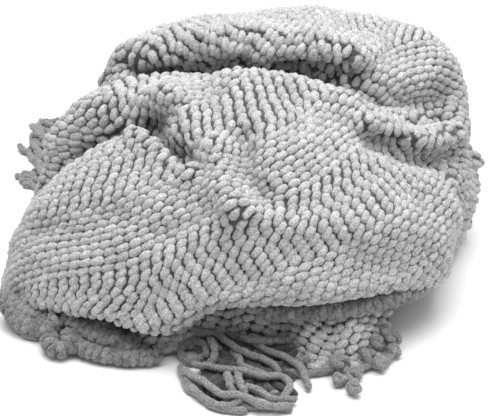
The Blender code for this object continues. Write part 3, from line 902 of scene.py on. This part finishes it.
# strands by the pixels of the photograph that they pass, with their height in millimetres
frontStrands = {
    "overLong": ((192, 328, 22), (218, 335, 20), (238, 349, 17), (257, 357, 15), (270, 362, 14),
        (280, 373, 9)),
    "overOuter": ((226, 333, 16), (249, 341, 15), (266, 350, 14), (287, 358, 14), (302, 369, 12),
        (309, 390, 4)),
    "crossing": ((192, 364, 12), (218, 368, 14), (241, 371, 15), (262, 376, 15), (282, 376, 14),
        (290, 385, 13), (282, 398, 9)),
    "leftOver": ((183, 370, 14), (195, 376, 16), (211, 387, 16), (225, 395, 15), (241, 396, 14),
        (266, 406, 10), (290, 405, 8)),
    "leftUnder": ((187, 378, 8), (196, 391, 8), (208, 401, 7), (222, 406, 7), (238, 402, 8),
        (245, 392, 10)),
    "leftFloor": ((190, 374, 4), (201, 386, 4), (215, 394, 4), (232, 402, 4), (250, 406, 4),
        (278, 407, 4), (293, 410, 4)),
    "leftEdge": ((180, 366, 4), (186, 386, 4), (200, 396, 4), (212, 405, 4), (230, 410, 4), (246, 410, 4)),
    "loop": ((206, 356, 8), (192, 362, 5), (182, 356, 6), (183, 346, 9), (193, 341, 12),
        (204, 345, 13), (207, 357, 12)),
    "loopStub": ((210, 339, 18), (214, 346, 20), (214, 356, 17), (211, 363, 12)),
    "middleUnder": ((232, 349, 10), (238, 358, 11), (243, 366, 10), (258, 371, 8),
        (275, 380, 5), (292, 391, 4)),
    "alongEdge": ((241, 337, 20), (256, 341, 20), (275, 341, 19), (293, 340, 17)),
    "rightUpper": ((294, 362, 8), (308, 360, 9), (322, 355, 9), (334, 350, 8)),
    "rightLower": ((284, 372, 4), (300, 373, 5), (318, 372, 5), (332, 369, 5)),
    "stubLeft": ((227, 374, 18), (230, 384, 18), (233, 393, 14)),
    "stubRight": ((237, 374, 18), (241, 385, 18), (245, 393, 14)),
    "middleEnd": ((246, 387, 12), (259, 391, 11), (272, 399, 10), (285, 399, 9), (297, 400, 6)),
    "innerFloor": ((205, 333, 14), (216, 345, 10), (228, 357, 5), (240, 372, 4), (262, 383, 4)),
    "shadeFirst": ((255, 352, 6), (268, 362, 5), (284, 366, 4), (300, 366, 4)),
    "shadeSecond": ((215, 372, 4), (228, 382, 4), (246, 385, 4), (262, 392, 4), (279, 395, 4)),
    "shadeThird": ((300, 352, 7), (316, 349, 7), (330, 352, 6), (338, 360, 5)),
    "shadeFourth": ((196, 345, 5), (214, 360, 4), (232, 366, 4), (250, 378, 4)),
    "tassel": ((344, 368, 10), (348, 376, 6), (353, 386, 5)),
    "tieRight": ((366, 356, 12), (374, 364, 6), (384, 364, 5), (391, 354, 7), (392, 342, 12)),
    "tieLeft": ((338, 364, 10), (350, 371, 6), (362, 368, 6), (376, 360, 8)),
}
frontKnots = (  # pixel, height in millimetres, radius in metres
    (338, 363, 13, 0.0082),
    (366, 355, 13, 0.0070),
    (391, 338, 14, 0.0072),
    (380, 363, 9, 0.0056),
    (356, 373, 7, 0.0044),
    (354, 388, 8, 0.0052),
    (339, 380, 7, 0.0042),
    (394, 351, 8, 0.0046),
    (299, 344, 15, 0.0040),
    (310, 341, 18, 0.0040),
    (316, 347, 14, 0.0040),
    (324, 350, 13, 0.0042),
    (333, 352, 13, 0.0042),
    (345, 348, 15, 0.0044),
    (357, 345, 17, 0.0044),
    (376, 342, 18, 0.0046),
    (384, 330, 22, 0.0046),
)
backStrands = {
    "topLoop": ((78, 128, 6), (66, 122, 8), (50, 121, 8), (39, 124, 6), (39, 130, 5), (46, 137, 5)),
    "bigLoop": ((73, 136, 9), (61, 130, 10), (52, 131, 10), (46, 141, 9), (47, 151, 8),
        (55, 156, 7), (66, 156, 6)),
    "smallRing": ((46, 142, 6), (37, 141, 5), (32, 138, 5), (34, 134, 6), (42, 136, 7)),
    "shortEnd": ((32, 151, 5), (25, 151, 5), (20, 146, 5)),
    "wideRing": ((44, 147, 7), (33, 147, 5), (30, 154, 4), (36, 161, 4), (48, 158, 5)),
    "firstLine": ((88, 143, 6), (75, 141, 8), (63, 144, 9), (51, 150, 8)),
    "secondLine": ((86, 151, 6), (75, 148, 8), (65, 151, 8), (58, 159, 5)),
    "lowRing": ((41, 165, 4), (43, 173, 4), (51, 176, 5), (60, 171, 6), (64, 163, 6)),
    "sideRing": ((52, 176, 6), (42, 181, 5), (38, 190, 4), (40, 199, 4), (45, 204, 4), (54, 194, 5)),
    "shadeLine": ((90, 136, 4), (74, 132, 4), (58, 140, 4), (50, 146, 4)),
    "innerRing": ((70, 160, 4), (58, 165, 4), (50, 162, 5), (52, 154, 6), (62, 150, 6)),
}
sideStrands = {
    "sideEnd": ((44, 262, 5), (30, 262, 5), (19, 267, 5), (11, 276, 5), (6, 286, 5), (4, 297, 4)),
    "upperEnd": ((48, 200, 6), (43, 212, 5), (33, 223, 5), (22, 230, 5), (19, 241, 5),
        (25, 252, 4), (38, 262, 4), (52, 268, 4)),
    "middleEnd": ((8, 268, 4), (14, 261, 4), (24, 257, 4), (38, 257, 4), (52, 262, 4)),
    "lowerEnd": ((14, 322, 4), (20, 330, 5), (30, 336, 5), (42, 336, 5), (50, 342, 5)),
}
underRolls = {  # the lower layers' rolled edges, in the shade of the hem
    "roundLoop": ((56, 320, 26), (49, 332, 18), (51, 346, 10), (60, 352, 8), (69, 345, 12), (69, 331, 20)),
    "floorRoll": ((74, 336, 14), (81, 347, 9), (93, 353, 8), (112, 357, 7), (134, 359, 7), (158, 357, 7)),
    "middleRoll": ((68, 318, 26), (84, 329, 22), (100, 338, 17), (120, 346, 12), (142, 351, 9)),
    "cornerRoll": ((5, 298, 26), (12, 314, 18), (27, 325, 13), (45, 329, 12), (60, 330, 14)),
    "cornerInner": ((8, 300, 24), (18, 310, 20), (32, 316, 18), (48, 320, 18), (60, 324, 18)),
    "innerRoll": ((92, 320, 24), (103, 333, 20), (118, 341, 16), (140, 344, 12)),
}
rolls = {
    "size": 0.013,
    # painted shade: the rolls' beans are darkened, as they lie in the shade under the hem
    "shade": 2.4,  # how much darker their beans are than the heap's
    "fewest": 5,  # beans round a roll
    "reach": 0.004,  # to each side of a place, to find the roll's direction there
    "beanLength": 0.86,
}
hemLayer = ((262, 312, 52), (300, 312, 55), (345, 309, 56), (380, 303, 57), (412, 291, 56), (434, 277, 54))
frontMat = {  # strands lying under the ones that show, by the photograph's pixels
    "count": 40,
    "startX": (198, 300),
    "startY": (338, 350),
    "endX": (198, 296),
    "endY": (372, 402),
    "bend": 20,
    "startHeight": 10,
    "heights": (3.8, 3.8, 6.0),
}
backMat = {
    "count": 26,
    "startX": (74, 66),
    "startY": (122, 206),
    "endX": (30, 44),
    "endY": (120, 204),
    "bend": 12,
    "startHeight": 10,
    "heights": (3.8, 7.0, 11.0),
}


def squareTo(edge, ahead):
    along = np.gradient(edge, axis=0)
    out = np.stack([along[:, 1], -along[:, 0], np.zeros(len(edge))], axis=1)
    out *= np.sign(np.sum(out * ahead, axis=1, keepdims=True))
    return unit(out)


def strandRoute(root, outward, heading, length, curl, start):
    # a strand's line, drawn out level from its knot and turning as it goes
    step = length / (fringe["points"] - 1)
    share = np.linspace(0.0, 1.0, fringe["points"])
    wander = np.cumsum(luck.normal(0.0, fringe["wander"], fringe["points"])) * fringe["wanderKept"]
    angle = np.radians(heading + curl * share + wander)
    base = math.atan2(outward[1], outward[0])
    route = np.zeros((fringe["points"], 3))
    route[:, 0] = root[0] + np.cumsum(np.cos(base - angle)) * step
    route[:, 1] = root[1] + np.cumsum(np.sin(base - angle)) * step
    hump = np.sin(np.pi * np.minimum(share * fringe["riseEnds"], 1.0))
    route[:, 2] = np.maximum(root[2] + start * hump, fringe["strand"] / 2)
    return route


def settled(routes, ceiling):
    # strands fall, keep their length, and lie on one another and on the floor
    size = fringe["strand"]
    routes = routes.copy()
    count, points = routes.shape[:2]
    rest = np.linalg.norm(np.diff(routes, axis=1), axis=2)
    owner = np.repeat(np.arange(count), points)
    fixed = routes[:, :2].copy()
    for _ in range(fringe["settlePasses"]):
        routes[:, :, 2] -= fringe["sink"]
        flat = routes.reshape(-1, 3)
        gap = flat[:, None, :] - flat[None, :, :]
        away = np.linalg.norm(gap, axis=2)
        short = size * fringe["touch"] - away
        close = (short > 0.0) & (owner[:, None] != owner[None, :])
        push = np.where(close, short / np.maximum(away, 1e-6) * fringe["push"], 0.0)
        flat = flat + np.einsum("ij,ijk->ik", push, gap)
        routes = flat.reshape(count, points, 3)
        for start in (0, 1, 0, 1):
            ends = slice(start, points - 1, 2), slice(start + 1, points, 2)
            link = routes[:, ends[1]] - routes[:, ends[0]]
            long = np.linalg.norm(link, axis=2, keepdims=True)
            pull = link * (long - rest[:, ends[0]][:, :, None]) / np.maximum(long, 1e-9) / 2
            routes[:, ends[0]] += pull
            routes[:, ends[1]] -= pull
        routes[:, 1:-1] += fringe["stiff"] * ((routes[:, :-2] + routes[:, 2:]) / 2 - routes[:, 1:-1])
        routes[:, :2] = fixed
        routes[:, :, 2] = np.clip(routes[:, :, 2], size / 2, ceiling)
    return routes


def atPixel(px, py, millimetres):
    # the point at this height that the camera sees at a pixel of the photograph
    back = towards(studio["azimuth"], studio["elevation"])
    turned = math.radians(studio["azimuth"])
    rightward = Vector((math.cos(turned), math.sin(turned), 0.0))
    upward = back.cross(rightward)
    eye = Vector(studio["lookAt"]) + back * studio["distance"]
    across = (px - studio["imageWidth"] / 2) * studio["metresPerPixel"]
    rise = (studio["imageHeight"] / 2 - py) * studio["metresPerPixel"]
    ray = Vector(studio["lookAt"]) + rightward * across + upward * rise - eye
    return np.array(eye + ray * ((millimetres / 1000 - eye.z) / ray.z))


def drawnStrand(pixels, size):
    # a smooth line through a strand's pixels, with a little waver, no lower than the floor
    known = np.array([atPixel(*pixel) for pixel in pixels])
    line = spline(np.arange(len(known)), known, np.linspace(0, len(known) - 1, 20 * len(known)))
    line = evenSteps(line, fringe["points"])
    waver = luck.normal(0.0, fringe["waver"], line.shape)
    waver[1:-1] = (waver[:-2] + waver[1:-1] + waver[2:]) / 2
    line += waver
    line[:, 2] = np.maximum(line[:, 2], size / 2)
    return line


def tubes(name, routes, size, tone, replaced):
    # round strands along many lines, as one piece
    line = bpy.data.curves.new(name + "Line", "CURVE")
    line.dimensions = "3D"
    line.bevel_depth = 1.0
    line.bevel_resolution = fringe["sides"]
    line.use_fill_caps = True
    for route in routes:
        strand = line.splines.new("POLY")
        strand.points.add(len(route) - 1)
        radius = np.full(len(route), size / 2) * (1 + luck.normal(0.0, fringe["uneven"], len(route)))
        radius[[0, -1]] *= fringe["tip"]
        for point, place, thick in zip(strand.points, route, radius):
            point.co = (*place, 1.0)
            point.radius = thick
    holder = addObject(name + "Line", line)
    drawn = holder.evaluated_get(bpy.context.evaluated_depsgraph_get())
    mesh = bpy.data.meshes.new_from_object(drawn)
    bpy.data.objects.remove(holder, do_unlink=True)
    bm = bmesh.new()
    bm.from_mesh(mesh)
    bmesh.ops.remove_doubles(bm, verts=bm.verts[:], dist=0.000001)
    for vert in bm.verts:
        vert.co.z = max(vert.co.z, 0.0)
    bm.to_mesh(mesh)
    bm.free()
    mesh.name = name
    mesh.materials.clear()
    mesh.materials.append(materials[tone])
    mesh.shade_smooth()
    piece = addObject(name, mesh)
    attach(piece, "root")
    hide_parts(replaced)
    return piece


def knotRoute(middle, outward, size, roll):
    # a loose overhand knot round the end of the cloth
    turn = np.linspace(0.0, 2 * math.pi, fringe["knotPoints"])
    across = np.array([-outward[1], outward[0], 0.0])
    upward = np.array([0.0, 0.0, 1.0])
    a = (np.sin(turn) + 2 * np.sin(2 * turn))[:, None]
    b = (np.cos(turn) - 2 * np.cos(2 * turn))[:, None]
    c = -np.sin(3 * turn)[:, None]
    lie = across * math.cos(roll) + upward * math.sin(roll)
    rise = upward * math.cos(roll) - across * math.sin(roll)
    return middle + size / 3 * (a * lie + b * outward * fringe["knotDeep"] + c * rise * fringe["knotTall"])


def endFringe(edge, ahead, table):
    # the routes of the knots and strands along a straight end
    run = runAlong(edge)
    count = int(run[-1] / fringe["pitch"])
    outward = squareTo(edge, ahead)
    rules = np.array(table)
    routes, knots = [], []
    for number in range(count + 1):
        share = number / count
        at = share * run[-1]
        root, out = readLine(at, run, edge), readLine(at, run, outward)
        heading, length, curl = spline(rules[:, 0], rules[:, 1:], [share])[0]
        middle = root + out * fringe["knotOut"]
        middle[2] = max(middle[2], fringe["knotZ"])
        knots.append(knotRoute(middle, out, fringe["knot"], luck.uniform(*fringe["knotRoll"])))
        for strand in range(fringe["each"]):
            side = (strand - (fringe["each"] - 1) / 2) * fringe["strand"] * fringe["strandGap"]
            start = middle + out * fringe["strandOut"] + np.array([-out[1], out[0], 0.0]) * side
            turned = heading + luck.normal(0, fringe["turned"])
            long = length * luck.uniform(*fringe["lengths"])
            curled = curl + luck.normal(0, fringe["curled"])
            routes.append(strandRoute(start, out, turned, long, curled, luck.uniform(*fringe["rise"])))
    return list(settled(np.array(routes), fringe["ceiling"])), knots


def looseKnots(table):
    routes = []
    for px, py, height, size in table:
        facing = luck.uniform(0, 2 * math.pi)
        outward = np.array([math.cos(facing), math.sin(facing), 0.0])
        middle = atPixel(px, py, height)
        middle[2] = max(middle[2], size + fringe["strand"] / 2)
        routes.append(knotRoute(middle, outward, size, luck.uniform(*fringe["looseRoll"])))
    return routes


def underStrands(values, size):
    routes = []
    for _ in range(values["count"]):
        share = luck.random()
        start = [low + (high - low) * share for low, high in (values["startX"], values["startY"])]
        end = [luck.uniform(*values["endX"]), luck.uniform(*values["endY"])]
        middle = (start[0] + end[0]) / 2 + luck.uniform(-1, 1) * values["bend"], (start[1] + end[1]) / 2
        height = luck.choice(values["heights"])
        pixels = (*start, values["startHeight"]), (*middle, height), (*end, height)
        routes.append(drawnStrand(pixels, size))
    return routes


def beadedRoll(route, radius):
    # beans wound round a rolled edge
    run = runAlong(route)
    around = max(rolls["fewest"], round(2 * math.pi * radius / stitch["wale"]))
    places, axes = [], []
    for step in range(int(run[-1] / stitch["course"]) + 1):
        at = step * stitch["course"]
        middle = readLine(at, run, route)
        ahead = readLine(at + rolls["reach"], run, route) - readLine(at - rolls["reach"], run, route)
        along = ahead / np.linalg.norm(ahead)
        side = np.cross(along, (0.0, 0.0, 1.0))
        side /= np.linalg.norm(side)
        above = np.cross(side, along)
        for number in range(around):
            angle = 2 * math.pi * (number + stitch["lean"] * step) / around
            outward = side * math.cos(angle) + above * math.sin(angle)
            turned = above * math.cos(angle) - side * math.sin(angle)
            swell = 1 + luck.normal(0.0, stitch["loose"], 3)
            places.append(middle + outward * (radius - stitch["sunk"]))
            long = stitch["length"] * rolls["beanLength"]
            size = np.array([long, stitch["width"], stitch["height"]]) * swell
            axes.append(np.stack([turned, along, outward], axis=1) * size)
    return np.array(places), np.array(axes)


size = fringe["strand"]
frontRoutes = [drawnStrand(pixels, size) for pixels in frontStrands.values()]
frontRoutes += looseKnots(frontKnots)
fringeFront = tubes("fringeFront", frontRoutes, size, "shadedFringeYarn", "fringe_front")
matRoutes = underStrands(frontMat, size)
# painted shade: the strands under the fringe are near black, for the shade among its strands
fringeMat = tubes("fringeMat", matRoutes, size, "paintedShadeYarn", "fringe_front")
print("stage: fringeFront,", len(frontRoutes), "strands and knots")
backEdge, backBefore = clothRows[-1] + heapShift, clothRows[-2] + heapShift
onBack = backEdge[:, 0] < fringe["backToX"]
backRoutes, backKnots = endFringe(backEdge[onBack], (backEdge - backBefore)[onBack], backTufts)
backRoutes += backKnots
backRoutes += [drawnStrand(pixels, size) for pixels in (*backStrands.values(), *sideStrands.values())]
backRoutes += underStrands(backMat, size)
fringeBack = tubes("fringeBack", backRoutes, size, "shadedFringeYarn", "fringe_back")
print("stage: fringeBack,", len(backRoutes), "strands and knots")
rollRoutes = [drawnStrand(pixels, rolls["size"]) for pixels in (*underRolls.values(), hemLayer)]
# painted shade: the rolled edges under their beans are near black
lowerRolls = tubes("lowerRolls", rollRoutes, rolls["size"], "paintedShadeYarn", "throw")
rolled = [beadedRoll(route, rolls["size"] / 2) for route in rollRoutes]
rollPlaces, rollAxes = [np.concatenate(items) for items in zip(*rolled)]
clearFloor(rollPlaces, rollAxes)
# painted shade: the rolls' beans are darker than the heap's by rolls' shade
tone = luck.random(len(rollPlaces)) - rolls["shade"]
stitchPieces.append(joinedBeans("stitchesRolls", rollPlaces, rollAxes, tone))
stitchPieces += [fringeFront, fringeMat, fringeBack, lowerRolls]
print("stage: rolled edges,", len(rollPlaces), "beans")
